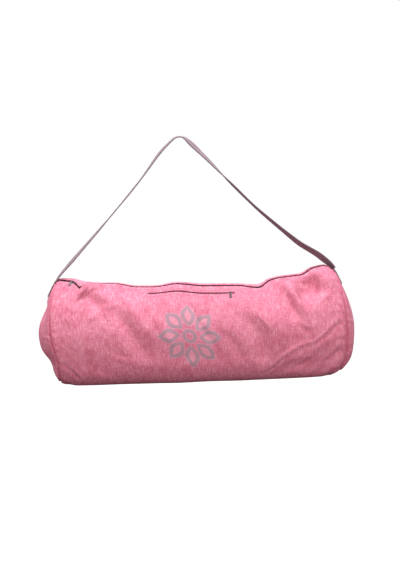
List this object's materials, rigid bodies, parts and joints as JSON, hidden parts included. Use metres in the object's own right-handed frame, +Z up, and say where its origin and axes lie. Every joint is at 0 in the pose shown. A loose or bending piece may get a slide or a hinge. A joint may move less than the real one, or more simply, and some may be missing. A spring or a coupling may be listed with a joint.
{
  "type": "yoga mat bag",
  "caption": "Soft cloth bag for a rolled yoga mat: a long tube with crowned ends, a zip along its top, a zipped front pocket and one long shoulder strap.",
  "frame": {"origin": "underside of the shoulder strap at its highest point, where the bag hangs", "axes": "+X along the bag towards its right end as seen from the front, -Y towards the front with the pocket, +Z up"},
  "size_m": [0.7213, 0.1689, 0.5625],
  "materials": {
    "panel_cloth": "pink melange canvas, matt",
    "strap_cloth": "mauve pink canvas, matt",
    "zip_tape": "dark maroon woven tape",
    "zip_coil": "dark maroon nylon coil",
    "zip_metal": "satin nickel"
  },
  "bodies": {
    "bag": {"body_panel": "panel_cloth", "end_panel_left": "panel_cloth", "end_panel_right": "panel_cloth", "main_zip_tape_front": "zip_tape", "main_zip_tape_back": "zip_tape", "main_zip_coil": "zip_coil", "main_zip_slider": "zip_metal", "pocket_zip_tape_upper": "zip_tape", "pocket_zip_tape_lower": "zip_tape", "pocket_zip_coil": "zip_coil", "pocket_zip_slider": "zip_metal", "shoulder_strap": "strap_cloth"},
    "main_pull": {"main_zip_pull": "zip_metal"},
    "pocket_pull": {"pocket_zip_pull": "zip_metal"}
  },
  "joints": [
    {"name": "main_pull_swing", "type": "hinge", "parent": "bag", "child": "main_pull", "pos_m": [-0.25419, -0.02387, -0.31628], "axis": [-0.8365, 0.3899, 0.3851], "range_deg": [0, 150]},
    {"name": "pocket_pull_swing", "type": "hinge", "parent": "bag", "child": "pocket_pull", "pos_m": [0.09928, -0.04342, -0.35205], "axis": [-0.9997, 0.0043, 0.0246], "range_deg": [0, 150]}
  ]
}
